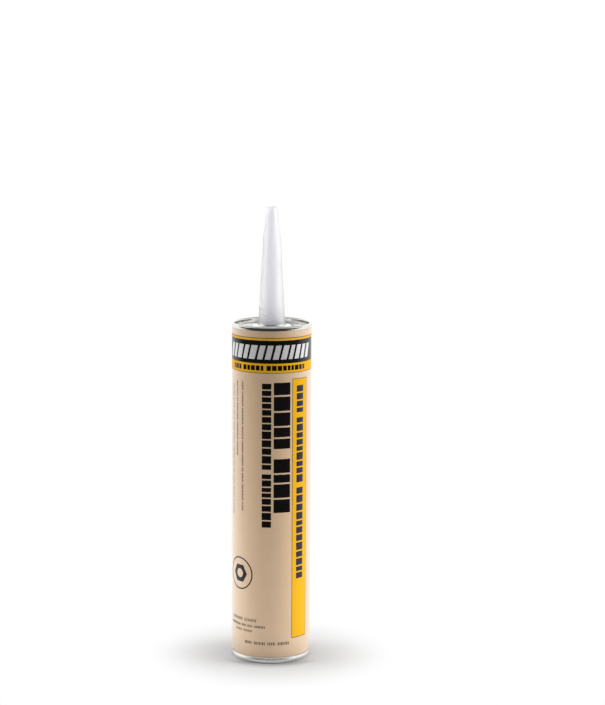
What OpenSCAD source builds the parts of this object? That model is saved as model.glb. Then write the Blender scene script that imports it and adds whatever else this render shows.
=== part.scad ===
// Construction adhesive cartridge, 10 fl oz (296 ml): a spiral-wound board tube with a printed
// wrap, a seamed tinplate end that grips a moulded nozzle, and a plunger behind the adhesive.
// It stands on its rear ring, +Z along the axis, with the front of the print facing -Y.

/* [Tube] */
// Height of the body, from the standing edge to the top of the front seam
body_h = 216; // [200:1:300]
// Bore that the plunger slides in, inside the liner
bore_d = 47.6; // [46:0.2:60]
// Thickness of the foil liner
liner_t = 0.15; // [0.1:0.05:0.4]
// Wall of the wound board
board_t = 1.1; // [0.9:0.1:2.4]
// Thickness of the printed paper wrap
wrap_t = 0.1; // [0.08:0.02:0.2]
// How far the wrap laps over itself at the back
wrap_lap = 7; // [4:1:15]

/* [Tinplate ends] */
// Thickness of the tinplate
tin_t = 0.25; // [0.2:0.05:0.4]
// Radius of the rolled edges, to the middle of the sheet
roll_r = 0.75; // [0.5:0.05:0.75]
// Gap between the seams' skirts and the wrap
skirt_gap = 0.1; // [0.05:0.05:0.5]
// How deep the crimps bite into the wall
crimp_depth = 0.3; // [0.1:0.05:0.5]
// Height over which the wall slopes back out of a crimp
pinch_h = 0.8; // [0.3:0.1:2]
// Height of the front seam's skirt
front_seam_h = 2.4; // [2:0.1:4]
// Height of the front seam's upright bead, above its leaning skirt
seam_bead_h = 1.3; // [1.2:0.05:1.5]
// Height of the rear ring's skirt
rear_ring_h = 3.7; // [3.2:0.1:6]
// Height of the rear ring's upright bead, below its leaning skirt
ring_bead_h = 2.2; // [1.5:0.1:2.4]
// Height of the rear ring's crimped neck
ring_neck_h = 0.4; // [0.2:0.05:0.6]
// How far the rear ring reaches up the bore
ring_leg_h = 5; // [4:0.5:9]
// Height of the sealing compound in the front seam
compound_h = 0.8; // [0.7:0.1:1.5]
// Depth of the nozzle's raised seat below the seam
seat_drop = 1.9; // [1.5:0.1:2.4]
// Depth of the flat panel below the seam
panel_drop = 3.1; // [2.9:0.1:4]
// Depth of the groove inside the seam
groove_drop = 4.6; // [4.4:0.1:7]
// Width of the groove inside the seam
groove_w = 3.4; // [2.8:0.1:5]
// Height of the lip around the nozzle hole
lip_h = 1.1; // [0.8:0.1:1.5]
// How far the lip's foot stands out from its top
lip_spread = 0.25; // [0:0.05:0.4]

/* [Nozzle] */
// Length of the nozzle above its seat
nozzle_h = 74.8; // [50:0.2:110]
// Diameter where the nozzle leaves its seat
nozzle_base_d = 16.8; // [12:0.2:20]
// Diameter at the bend in the taper
nozzle_bend_d = 11; // [8:0.2:12]
// Diameter of the closed tip
nozzle_tip_d = 5.9; // [5:0.1:8]
// Length of the steep taper below the tip
tip_taper_h = 19; // [12:1:30]
// Wall of the nozzle
nozzle_wall = 1.3; // [0.9:0.1:1.8]
// Wall of the nozzle just below the tip
tip_wall = 0.9; // [0.7:0.1:1.4]
// Thickness of the closed tip
tip_t = 3; // [1.5:0.5:6]
// How far the flange reaches beyond the base of the nozzle
flange_w = 3.4; // [2.5:0.1:4.5]
// Thickness of the flange
flange_t = 1.3; // [1:0.1:2]
// Number of rings moulded round the base
ring_count = 6; // [0:1:12]
// Distance from one moulded ring to the next
ring_pitch = 1.9; // [1.5:0.1:3]
// Height of the moulded rings
ring_rise = 0.15; // [0.1:0.05:0.5]
// Thickness of the foil seal under the nozzle
foil_t = 0.1; // [0.1:0.05:0.3]

/* [Plunger] */
// Length of the plunger
plunger_h = 16; // [12:0.5:22]
// Thickness of the plunger's face
face_t = 1.6; // [1.2:0.1:3]
// Wall of the plunger's waist, between its lips
waist_t = 1.2; // [0.9:0.1:2]
// Gap between the bore and the plunger's waist
waist_gap = 0.7; // [0.4:0.1:1.5]
// Gap between the bore and the plunger's wiping lips
wiper_gap = 0.05; // [0.02:0.01:0.1]
// Width of the groove behind the front wiping lip
wiper_groove = 2.2; // [1.5:0.1:4]
// Number of ribs inside the plunger
rib_count = 8; // [3:1:16]
// Thickness of the ribs
rib_t = 1.2; // [0.8:0.1:2]
// How far the ribs reach in from the waist
rib_reach = 7; // [4:0.5:10]
// Height of the ribs
rib_h = 9; // [6:0.5:9.5]
// Outer diameter of the ring boss inside the plunger
boss_d = 12; // [8:0.5:20]
// Height of the ring boss
boss_h = 2.5; // [1:0.5:6]

/* [Adhesive] */
// Volume of the adhesive, in millilitres
fill_ml = 296; // [200:1:320]

/* [Print] */
// Thickness of the ink
ink_t = 0.05; // [0.04:0.01:0.1]
// Width of the band panel round the tube
panel_w = 79; // [40:1:120]
// Turn of the band panel's middle from the front, in degrees
panel_turn = -5.5; // [-30:0.5:30]
// Distance from the seam's top to the yellow rule
rule_drop = 7.1; // [5:0.1:20]
// Height of the yellow rule
rule_h = 1.2; // [0.6:0.1:3]
// Gap between the yellow rule and the black band
rule_gap = 0.2; // [0.1:0.1:1]
// Height of the black band
black_h = 14.4; // [8:0.2:30]
// Height of the yellow band
yellow_h = 5.8; // [3:0.2:12]
// Gap between the yellow band and the upright stripe
stripe_gap = 4.6; // [2:0.1:15]
// Distance from the standing edge to the stripe's foot
stripe_foot = 16.1; // [8:0.1:60]
// Width of the stripe round the tube
stripe_w = 12; // [4:0.5:20]
// Turn of the stripe's middle from the front, in degrees
stripe_turn = 46.6; // [30:0.2:90]
// Width of the dark outlines
outline_w = 0.35; // [0.2:0.05:0.6]

/* [Hidden] */
$fn = 96;

// Degrees between neighbouring points where a corner is rounded
arc_step = 15;
// Radius of the bends in pressed sheet, to its middle
press_r = 0.4;
// Radius where a bead leans over into its skirt
bead_round = 1.2;
// Radius of the nozzle's tip, and of the soft bend in its taper
tip_round = 0.7;
bend_round = 60;
// Clearances: nozzle in its hole, flange inside its seat, fillings off what holds them
hole_gap = 0.05;
flange_gap = 0.3;
fill_gap = 0.05;

// Radii, from the bore outwards
bore_r = bore_d / 2;
liner_r = bore_r + liner_t;
board_r = liner_r + board_t;
wrap_r = board_r + wrap_t;
lap_r = wrap_r + wrap_t;
seam_r = lap_r + skirt_gap + tin_t;

// Middle of the sheet in the ends' inner leg, outer skirt and crimp
half_tin = tin_t / 2;
leg_r = bore_r - half_tin;
skirt_r = seam_r - half_tin;
crimp_r = lap_r - crimp_depth + half_tin;

// The wall's ends, inside the rolled edges
wall_z0 = half_tin + roll_r;
wall_z1 = body_h - tin_t - compound_h;

// Levels of the front end, each to the upper face of the sheet
seat_z = body_h - seat_drop;
panel_z = body_h - panel_drop;
groove_z = body_h - groove_drop;
skirt_z = body_h - front_seam_h;
lean_z = body_h - seam_bead_h;
neck_z = rear_ring_h - ring_neck_h;

// Nozzle and its flange
base_r = nozzle_base_d / 2;
hole_r = base_r + hole_gap;
flange_r = base_r + flange_w;
flange_z1 = seat_z - tin_t;
flange_z0 = flange_z1 - flange_t;
foil_r = flange_r - 1;
foil_z0 = flange_z0 - foil_t;
shank_z = seat_z + lip_h;
tip_z = seat_z + nozzle_h;
bend_z = tip_z - tip_taper_h;

// Adhesive: a column in the bore, and a raised middle inside the groove
middle_r = bore_r - groove_w - 1;
column_z1 = groove_z - tin_t - fill_gap;
middle_z1 = min(foil_z0, panel_z - tin_t) - fill_gap;
middle_volume = PI * pow(middle_r, 2) * (middle_z1 - column_z1);
column_z0 = column_z1 - (fill_ml * 1000 - middle_volume) / (PI * pow(bore_r, 2));

// Print levels, from the top down
rule_z1 = body_h - rule_drop;
rule_z0 = rule_z1 - rule_h;
black_z1 = rule_z0 - rule_gap;
black_z0 = black_z1 - black_h;
yellow_z0 = black_z0 - yellow_h;
stripe_z1 = yellow_z0 - stripe_gap;

// Degrees that a width takes up round the wrap
function turn_of(width) = width / wrap_r * 180 / PI;

function unit(v) = v / norm(v);

function reversed(points) = [for (i = [len(points) - 1:-1:0]) points[i]];

// Points of the arc that rounds corner b, whose third number is the radius
function rounded(a, b, c) =
    let (
        p = [b[0], b[1]],
        u = unit([a[0], a[1]] - p),
        v = unit([c[0], c[1]] - p),
        half = acos(u * v) / 2,
        centre = p + unit(u + v) * b[2] / sin(half),
        from = p + u * b[2] / tan(half) - centre,
        to = p + v * b[2] / tan(half) - centre,
        start = atan2(from[1], from[0]),
        turn = (atan2(to[1], to[0]) - start + 540) % 360 - 180,
        steps = max(1, ceil(abs(turn) / arc_step))
    )
    [for (i = [0:steps])
        let (angle = start + turn * i / steps)
        centre + b[2] * [cos(angle), sin(angle)]];

// A line of [r, z] points in which each [r, z, radius] corner is rounded
function line_of(corners) =
    [for (i = [0:len(corners) - 1])
        each len(corners[i]) == 3
            ? rounded(corners[i - 1], corners[i], corners[i + 1])
            : [corners[i]]];

// The direction to the left of the stretch that starts at point i
function left_of(points, i) =
    let (d = unit(points[i + 1] - points[i])) [-d[1], d[0]];

// The line moved to its left by a distance, with mitred corners
function beside(points, distance) =
    let (last = len(points) - 1)
    [for (i = [0:last])
        let (
            n = left_of(points, max(0, i - 1)),
            m = left_of(points, min(last - 1, i))
        )
        points[i] + distance * (n + m) / (1 + n * m)];

// A pressed sheet revolved round the axis, from the middle line of its section
module pressed(corners) {
    middle = line_of(corners);
    rotate_extrude()
        polygon(concat(beside(middle, half_tin), reversed(beside(middle, -half_tin))));
}

// Share of the crimp's depth that is left at height z inside the front seam's leaning skirt
function crimp_left(z) = max(0, (lean_z - z) / (lean_z - skirt_z - tin_t));

// A wall's outer line from foot to top, pinched where the two crimps bite
function wall_line(r) = [
    [r, wall_z0],
    [r, ring_bead_h],
    [r - crimp_depth, neck_z - tin_t],
    [r - crimp_depth, rear_ring_h],
    [r, rear_ring_h + pinch_h],
    [r, skirt_z - pinch_h],
    [r - crimp_depth, skirt_z],
    [r - crimp_depth, skirt_z + tin_t],
    if (wall_z1 > lean_z) [r, lean_z],
    [r - crimp_depth * crimp_left(wall_z1), wall_z1]
];

// A film on the wrap, between two heights and two turns from the front; a cutter runs past it
module film(z0, z1, turn0, turn1, past = 0) {
    rotate([0, 0, turn0 - 90])
        rotate_extrude(angle = turn1 - turn0)
            translate([wrap_r - past, z0])
                square([ink_t + 2 * past, z1 - z0]);
}

// A film as wide as the band panel
module panel_film(z0, z1) {
    half = turn_of(panel_w) / 2;
    film(z0, z1, panel_turn - half, panel_turn + half);
}

// Spiral-wound board, plain but for the crimps
module board_tube() {
    color("burlywood")
        rotate_extrude()
            polygon(concat([[liner_r, wall_z0]], wall_line(board_r), [[liner_r, wall_z1]]));
}

module foil_liner() {
    color("silver")
        rotate_extrude()
            translate([bore_r, wall_z0])
                square([liner_t, wall_z1 - wall_z0]);
}

// One sheet of paper, once round the tube and lapped over itself at the back
module paper_wrap() {
    lap = turn_of(wrap_lap);
    color("tan") {
        rotate_extrude()
            polygon(concat(wall_line(board_r), reversed(wall_line(wrap_r))));
        rotate([0, 0, 90 - lap / 2])
            rotate_extrude(angle = lap)
                polygon(concat(wall_line(board_r + wrap_t / 2), reversed(wall_line(lap_r))));
    }
}

// Lip, seat for the flange, panel, groove, chuck wall, rolled seam, and skirt leaning in to the crimp
module front_end() {
    lip_r = hole_r + half_tin;
    seat_r = flange_r + flange_gap + half_tin;
    panel_r = bore_r - groove_w;
    seat_slope = 0.5;
    groove_slope = 0.8;
    color("gainsboro")
        pressed([
            [lip_r, shank_z],
            [lip_r + lip_spread, seat_z - half_tin, press_r],
            [seat_r, seat_z - half_tin, press_r],
            [seat_r + seat_slope, panel_z - half_tin, press_r],
            [panel_r, panel_z - half_tin, press_r],
            [panel_r + groove_slope, groove_z - half_tin, press_r],
            [leg_r, groove_z - half_tin, press_r * 2],
            [leg_r, body_h - half_tin, roll_r],
            [skirt_r, body_h - half_tin, roll_r],
            [skirt_r, lean_z, bead_round],
            [crimp_r, skirt_z]
        ]);
}

// Compound that fills the roll above the end of the wall
module seam_compound() {
    z1 = body_h - tin_t;
    outer_r = seam_r - tin_t;
    foot_r = outer_r - (skirt_r - crimp_r) * crimp_left(wall_z1);
    round_r = roll_r - half_tin + fill_gap;
    color("dimgray")
        rotate_extrude()
            polygon(line_of([
                [bore_r, wall_z1],
                [foot_r, wall_z1],
                if (wall_z1 < lean_z) [outer_r, lean_z],
                [outer_r, z1, round_r],
                [bore_r, z1, round_r],
                [bore_r, wall_z1]
            ]));
}

// Inner leg, rolled standing edge, bead, and skirt leaning in to the crimped neck
module rear_ring() {
    color("gainsboro")
        pressed([
            [leg_r, ring_leg_h],
            [leg_r, half_tin, roll_r],
            [skirt_r, half_tin, roll_r],
            [skirt_r, ring_bead_h, bead_round],
            [crimp_r, neck_z, press_r],
            [crimp_r, rear_ring_h]
        ]);
}

// Radius of the nozzle's outside at height z, from its lip to the bend
function taper_r(z) = base_r + (nozzle_bend_d / 2 - base_r) * (z - shank_z) / (bend_z - shank_z);

// Section of one moulded ring: sloping flanks and a narrow crown
function ring_section(z) = [
    [taper_r(z - ring_rise * 2), z - ring_rise * 2],
    [taper_r(z) + ring_rise, z - ring_rise / 2],
    [taper_r(z) + ring_rise, z + ring_rise / 2],
    [taper_r(z + ring_rise * 2), z + ring_rise * 2]
];

// One piece with its flange, closed at the tip until it is cut
module nozzle() {
    tip_r = nozzle_tip_d / 2;
    bend_r = nozzle_bend_d / 2;
    inner_base_r = base_r - nozzle_wall;
    outside = concat(
        [
            [flange_r, flange_z0],
            [flange_r, flange_z1],
            [base_r, flange_z1],
            [base_r, shank_z]
        ],
        [for (i = [0:1:ring_count - 1]) each ring_section(shank_z + (i + 0.5) * ring_pitch)],
        [
            [bend_r, bend_z, bend_round],
            [tip_r, tip_z, tip_round],
            [0, tip_z]
        ]
    );
    inside = [
        [0, tip_z - tip_t],
        [tip_r - tip_wall, tip_z - tip_t],
        [bend_r - nozzle_wall, bend_z],
        [inner_base_r, seat_z],
        [inner_base_r, flange_z0]
    ];
    color("whitesmoke")
        rotate_extrude()
            polygon(concat(line_of(outside), inside));
}

// Foil across the foot of the nozzle, pierced before use
module foil_seal() {
    color("silver")
        translate([0, 0, foil_z0])
            cylinder(r = foil_r, h = foil_t);
}

// Cup with two wiping lips, a waist between them, and ribs and a ring boss inside
module plunger() {
    wiper_r = bore_r - wiper_gap;
    waist_r = bore_r - waist_gap;
    inner_r = waist_r - waist_t;
    edge = 0.5;
    lip_t = 0.6;
    groove_depth = face_t + edge;
    inner_slope = 1.4;
    foot = -plunger_h;
    section = [
        [0, 0],
        [wiper_r - edge - wiper_groove, 0],
        [wiper_r - edge - wiper_groove / 2, -groove_depth],
        [wiper_r - edge, -edge / 2],
        [wiper_r, -edge],
        [wiper_r, -edge - lip_t],
        [waist_r, -groove_depth - edge * 2],
        [waist_r, foot + lip_t + edge * 4],
        [wiper_r, foot + lip_t + edge],
        [wiper_r, foot + edge],
        [wiper_r - edge, foot],
        [inner_r, foot],
        [inner_r, -groove_depth - inner_slope * 2],
        [inner_r - inner_slope, -groove_depth - inner_slope / 2],
        [inner_r - inner_slope * 2, -groove_depth + edge / 2],
        [inner_r - inner_slope * 3, -face_t],
        [0, -face_t]
    ];
    rib = [
        [inner_r - rib_reach, -face_t / 2],
        [inner_r - inner_slope * 3, -face_t / 2],
        [inner_r + waist_t / 2, -groove_depth - inner_slope * 2],
        [inner_r + waist_t / 2, -face_t - rib_h],
        [inner_r - edge * 2, -face_t - rib_h],
        [inner_r - rib_reach, -face_t - edge * 2]
    ];
    color("ivory")
        translate([0, 0, column_z0]) {
            rotate_extrude()
                polygon(section);
            for (i = [0:rib_count - 1])
                rotate([90, 0, (i + 0.5) * 360 / rib_count])
                    translate([0, 0, -rib_t / 2])
                        linear_extrude(rib_t)
                            polygon(rib);
            rotate_extrude()
                translate([boss_d / 2 - rib_t, -face_t - boss_h])
                    square([rib_t, boss_h + face_t / 2]);
        }
}

// The whole filling, from the plunger to the front end
module adhesive() {
    color("tan")
        rotate_extrude()
            polygon([
                [0, column_z0],
                [bore_r, column_z0],
                [bore_r, column_z1],
                [middle_r, column_z1],
                [middle_r, middle_z1],
                [0, middle_z1]
            ]);
}

module black_band() {
    color("black")
        panel_film(black_z0, black_z1);
}

module yellow_band() {
    color("gold")
        panel_film(yellow_z0, black_z0);
}

module yellow_rule() {
    color("gold")
        panel_film(rule_z0, rule_z1);
}

module yellow_stripe() {
    half = turn_of(stripe_w) / 2;
    color("gold")
        film(stripe_foot, stripe_z1, stripe_turn - half, stripe_turn + half);
}

// Thin lines above the rule, below the yellow band and round the stripe
module dark_outlines() {
    half = turn_of(stripe_w) / 2;
    line = turn_of(outline_w);
    foot = stripe_foot - outline_w;
    head = stripe_z1 + outline_w;
    color("dimgray") {
        panel_film(rule_z1, rule_z1 + outline_w);
        panel_film(yellow_z0 - outline_w, yellow_z0);
        difference() {
            film(foot, head, stripe_turn - half - line, stripe_turn + half + line);
            film(stripe_foot, stripe_z1, stripe_turn - half, stripe_turn + half, past = 1);
        }
    }
}

board_tube();
foil_liner();
paper_wrap();
front_end();
seam_compound();
rear_ring();
nozzle();
foil_seal();
plunger();
adhesive();
black_band();
yellow_band();
yellow_rule();
yellow_stripe();
dark_outlines();
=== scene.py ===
"""Construction adhesive cartridge: finishes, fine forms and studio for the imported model.

Sizes are millimetres in the model's frame until a mesh is made: +Z runs up the tube's axis to
the nozzle's tip and the front of the print faces -Y. Turns are degrees round the axis from
the front, positive towards +X, and s is the length round the wrap that a turn takes up.
"""
import logging
import math
from dataclasses import dataclass, field
from enum import Enum
from typing import Callable, Sequence

import bpy
import numpy as np
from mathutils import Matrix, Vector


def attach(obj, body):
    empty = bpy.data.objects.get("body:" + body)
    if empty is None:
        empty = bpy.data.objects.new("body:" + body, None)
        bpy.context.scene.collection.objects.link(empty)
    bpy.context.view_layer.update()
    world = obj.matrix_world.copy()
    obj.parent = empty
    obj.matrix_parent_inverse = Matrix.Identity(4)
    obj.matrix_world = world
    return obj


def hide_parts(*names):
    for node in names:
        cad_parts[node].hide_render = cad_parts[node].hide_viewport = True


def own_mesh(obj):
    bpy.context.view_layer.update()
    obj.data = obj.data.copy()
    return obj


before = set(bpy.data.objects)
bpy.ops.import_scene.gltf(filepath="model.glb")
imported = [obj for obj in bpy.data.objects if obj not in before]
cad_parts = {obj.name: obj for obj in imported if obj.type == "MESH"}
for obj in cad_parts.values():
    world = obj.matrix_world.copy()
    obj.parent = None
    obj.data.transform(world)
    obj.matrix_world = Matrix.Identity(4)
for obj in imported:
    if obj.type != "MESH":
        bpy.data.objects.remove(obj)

log = logging.getLogger("cartridge")
MM = 0.001
Array = np.ndarray
Colour = tuple[float, float, float]
Socket = bpy.types.NodeSocket
Outputs = bpy.types.bpy_prop_collection
WHITE = (1.0, 1.0, 1.0, 1.0)


def from_srgb(red: int, green: int, blue: int) -> Colour:
    """Linear colour of an sRGB one: c / 12.92 where it is dark, else ((c + 0.055) / 1.055) ^ 2.4.

    Args:
        red: red from 0 to 255.
        green: green from 0 to 255.
        blue: blue from 0 to 255.

    Returns:
        The three channels from 0 to 1.
    """
    channels = np.array([red, green, blue]) / 255
    linear = np.where(channels <= 0.04045, channels / 12.92, ((channels + 0.055) / 1.055) ** 2.4)
    return tuple(float(c) for c in linear)


@dataclass(frozen=True)
class TubeSizes:
    """Radii and heights of the tube and its print, as the solids have them."""

    body_h: float = 216.0
    bore_r: float = 23.8
    liner_t: float = 0.15
    board_t: float = 1.1
    wrap_t: float = 0.1
    wrap_lap: float = 7.0
    ink_t: float = 0.05
    over_ink_t: float = 0.04
    tin_t: float = 0.25
    roll_r: float = 0.75
    press_r: float = 0.4
    bead_round: float = 1.2
    skirt_gap: float = 0.1
    crimp_depth: float = 0.3
    pinch_h: float = 0.8
    compound_h: float = 0.8
    front_seam_h: float = 2.4
    seam_bead_h: float = 1.3
    rear_ring_h: float = 3.7
    ring_bead_h: float = 2.2
    ring_neck_h: float = 0.4
    ring_leg_h: float = 5.0
    seat_drop: float = 1.9
    panel_drop: float = 3.1
    groove_drop: float = 4.6
    groove_w: float = 3.4
    nozzle_r: float = 8.4
    flange_w: float = 3.4
    lip_h: float = 1.1
    pleats: int = 98

    @property
    def board_r(self) -> float:
        """Outside of the board."""
        return self.bore_r + self.liner_t + self.board_t

    @property
    def wrap_r(self) -> float:
        """Outside of the paper wrap."""
        return self.board_r + self.wrap_t

    @property
    def lap_r(self) -> float:
        """Outside of the wrap where it laps over itself."""
        return self.wrap_r + self.wrap_t

    @property
    def leg_r(self) -> float:
        """Middle of the sheet in the tinplate's inner legs."""
        return self.bore_r - self.tin_t / 2

    @property
    def skirt_r(self) -> float:
        """Middle of the sheet in the tinplate's outer skirts."""
        return self.lap_r + self.skirt_gap + self.tin_t / 2

    @property
    def crimp_r(self) -> float:
        """Middle of the sheet where the tinplate is crimped into the wall."""
        return self.lap_r - self.crimp_depth + self.tin_t / 2

    @property
    def skirt_z(self) -> float:
        """Lower edge of the front seam's skirt."""
        return self.body_h - self.front_seam_h

    @property
    def lean_z(self) -> float:
        """Height from which the front seam's skirt leans inwards."""
        return self.body_h - self.seam_bead_h

    @property
    def neck_z(self) -> float:
        """Foot of the rear ring's crimped neck."""
        return self.rear_ring_h - self.ring_neck_h

    def turn_of(self, s: float | Array) -> float | Array:
        """Turn of a length round the wrap: s / r in degrees."""
        return np.degrees(s / self.wrap_r)

    def s_of(self, turn: float) -> float:
        """Length round the wrap of a turn: r times the turn in radians."""
        return self.wrap_r * math.radians(turn)


SIZES = TubeSizes()


@dataclass
class Surface:
    """Vertices in millimetres, with the quads and triangles that close them."""

    points: Array
    quads: Array
    triangles: Array = field(default_factory=lambda: np.empty((0, 3), int))

    def joined(self, *others: "Surface") -> "Surface":
        """One surface of this one and others, their faces renumbered by the points before them.

        Args:
            others: the surfaces to add.

        Returns:
            The joined surface.
        """
        parts = (self, *others)
        starts = np.cumsum([0] + [len(p.points) for p in parts[:-1]])
        return Surface(
            np.concatenate([p.points for p in parts]),
            np.concatenate([p.quads + start for p, start in zip(parts, starts)]),
            np.concatenate([p.triangles + start for p, start in zip(parts, starts)]),
        )


def on_tube(turn: Array, z: Array, r: Array | float) -> Array:
    """Points on the tube: x = r sin(turn), y = -r cos(turn), and z as given.

    Args:
        turn: degrees from the front.
        z: heights.
        r: distances from the axis.

    Returns:
        The points, with x, y and z along the last axis.
    """
    angle = np.radians(turn)
    x, y, height = np.broadcast_arrays(r * np.sin(angle), -r * np.cos(angle), z)
    return np.stack([x, y, height], axis=-1)


def grid_quads(rows: int, columns: int, wrap_rows: bool, wrap_columns: bool) -> Array:
    """Quads that join each point of a grid to the next one along both parameters.

    Args:
        rows: points along the first parameter.
        columns: points along the second.
        wrap_rows: whether the last row joins the first.
        wrap_columns: whether the last column joins the first.

    Returns:
        An array of four point numbers a face, turning left when rows go up and columns right.
    """
    i, j = np.meshgrid(
        np.arange(rows if wrap_rows else rows - 1),
        np.arange(columns if wrap_columns else columns - 1),
        indexing="ij",
    )
    i_next = (i + 1) % rows
    j_next = (j + 1) % columns
    corners = [i * columns + j, i * columns + j_next, i_next * columns + j_next, i_next * columns + j]
    return np.stack(corners, axis=-1).reshape(-1, 4)


def rounded_line(corners: Sequence[tuple[float, ...]], step: float = 7.0) -> Array:
    """A line of (r, z) points with an arc at each corner that has a radius.

    The arc's centre lies on the corner's bisector at radius / sin(half angle), and its points
    are the centre plus the radius at equal turns of at most step degrees.

    Args:
        corners: (r, z) or (r, z, radius) for each corner.
        step: largest turn between neighbouring points of an arc.

    Returns:
        The line's points.
    """
    plain = np.array([corner[:2] for corner in corners], float)
    stretches = []
    for index, corner in enumerate(corners):
        if len(corner) == 2:
            stretches.append(plain[index:index + 1])
            continue
        back = plain[index - 1] - plain[index]
        on = plain[index + 1] - plain[index]
        back /= np.linalg.norm(back)
        on /= np.linalg.norm(on)
        half = math.acos(float(back @ on)) / 2
        bisector = (back + on) / np.linalg.norm(back + on)
        centre = plain[index] + bisector * corner[2] / math.sin(half)
        first = plain[index] + back * corner[2] / math.tan(half) - centre
        last = plain[index] + on * corner[2] / math.tan(half) - centre
        start = math.atan2(first[1], first[0])
        sweep = (math.atan2(last[1], last[0]) - start + math.pi) % math.tau - math.pi
        angles = start + sweep * np.linspace(0, 1, max(2, 1 + math.ceil(abs(math.degrees(sweep)) / step)))
        stretches.append(centre + corner[2] * np.stack([np.cos(angles), np.sin(angles)], axis=-1))
    return np.concatenate(stretches)


def sheet_outline(middle: Array, thickness: float) -> Array:
    """Closed outline of a sheet: its middle line moved half a thickness to each side.

    Each point moves along (n + m) / (1 + n . m), where n and m are the normals of the two
    stretches that meet there.

    Args:
        middle: the middle line's points.
        thickness: the sheet's thickness.

    Returns:
        The outline's points, once round.
    """
    along = np.diff(middle, axis=0)
    along /= np.linalg.norm(along, axis=1, keepdims=True)
    normals = np.stack([-along[:, 1], along[:, 0]], axis=-1)
    before = np.concatenate([normals[:1], normals])
    after = np.concatenate([normals, normals[-1:]])
    mitre = (before + after) / (1 + np.sum(before * after, axis=1, keepdims=True))
    return np.concatenate([middle + mitre * thickness / 2, (middle - mitre * thickness / 2)[::-1]])


def split_line(points: Array, longest: float) -> Array:
    """The same line with every stretch cut into equal parts.

    Args:
        points: the line's points.
        longest: how long a part may be.

    Returns:
        The points of the cut line.
    """
    pieces = []
    for start, end in zip(points[:-1], points[1:]):
        parts = max(1, math.ceil(np.linalg.norm(end - start) / longest))
        pieces.append(start + (end - start) * np.arange(parts)[:, None] / parts)
    return np.concatenate([*pieces, points[-1:]])


def waves(angle: Array, terms: Sequence[tuple[float, int, float]], base: float = 0.0) -> Array:
    """base plus the sum of height * sin(count * angle + start) over the terms.

    Args:
        angle: radians.
        terms: height, count and start of each wave.
        base: what they are added to.

    Returns:
        The sum at each angle.
    """
    return sum((height * np.sin(count * angle + start) for height, count, start in terms), base)


Ripple = Callable[[Array, Array, Array], Array]


def revolved(outline: Array, columns: int, ripple: Ripple | None = None, poles: bool = False) -> Surface:
    """An outline turned round the axis: r and z follow it, and the turn runs once round.

    Args:
        outline: (r, z) points, anticlockwise with r to the right and z up. With poles, the
            first and last lie on the axis, and otherwise the last joins the first.
        columns: points round the axis.
        ripple: change of r as a function of turn, r and z, each a grid.
        poles: whether the outline starts and ends on the axis.

    Returns:
        The closed surface.
    """
    closed = np.concatenate([outline, outline[:1]])
    area = np.sum(closed[:-1, 0] * closed[1:, 1] - closed[1:, 0] * closed[:-1, 1])
    line = outline if area > 0 else outline[::-1]
    rows = line[1:-1] if poles else line
    turn = np.arange(columns)[None, :] * 360 / columns
    r = np.repeat(rows[:, :1], columns, axis=1)
    z = np.repeat(rows[:, 1:], columns, axis=1)
    if ripple:
        r = r + ripple(turn, r, z)
    points = on_tube(turn, z, r).reshape(-1, 3)
    quads = grid_quads(len(rows), columns, not poles, True)
    if not poles:
        return Surface(points, quads)
    here = np.arange(columns)
    there = (here + 1) % columns
    top_row = (len(rows) - 1) * columns
    first_pole = len(points)
    ends = np.array([[0, 0, line[0, 1]], [0, 0, line[-1, 1]]])
    fans = np.concatenate([
        np.stack([np.full(columns, first_pole), there, here], axis=-1),
        np.stack([np.full(columns, first_pole + 1), top_row + here, top_row + there], axis=-1),
    ])
    return Surface(np.concatenate([points, ends]), quads, fans)


def film(s: Array, z: Array, inner_r: float, outer_r: float, closed: bool = False) -> Surface:
    """A thin closed film on the wrap whose outline is a grid of s and z.

    The grid is laid on both radii, and its borders are joined by a rim. It is turned to run
    anticlockwise, so that the outer face looks outwards.

    Args:
        s: grid of lengths round the wrap.
        z: grid of heights.
        inner_r: radius of the film's inner face.
        outer_r: radius of its outer face.
        closed: whether the last row of the grid joins the first.

    Returns:
        The film's surface.
    """
    left_turn = (s[1, 0] - s[0, 0]) * (z[0, 1] - z[0, 0]) - (z[1, 0] - z[0, 0]) * (s[0, 1] - s[0, 0])
    if left_turn < 0:
        s, z = s[:, ::-1], z[:, ::-1]
    rows, columns = s.shape
    turn = SIZES.turn_of(s)
    points = np.concatenate([
        on_tube(turn, z, outer_r).reshape(-1, 3),
        on_tube(turn, z, inner_r).reshape(-1, 3),
    ])
    faces = grid_quads(rows, columns, closed, False)[:, ::-1]
    back = rows * columns
    number = np.arange(back).reshape(rows, columns)
    if closed:
        borders = [number[:, 0], number[::-1, -1]]
    else:
        loop = [number[:-1, 0], number[-1, :-1], number[:0:-1, -1], number[0, :0:-1]]
        borders = [np.concatenate(loop)]
    rims = [
        np.stack([b + back, np.roll(b, -1) + back, np.roll(b, -1), b], axis=-1)
        for b in borders
    ]
    return Surface(points, np.concatenate([faces, faces[:, ::-1] + back, *rims]))


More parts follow.
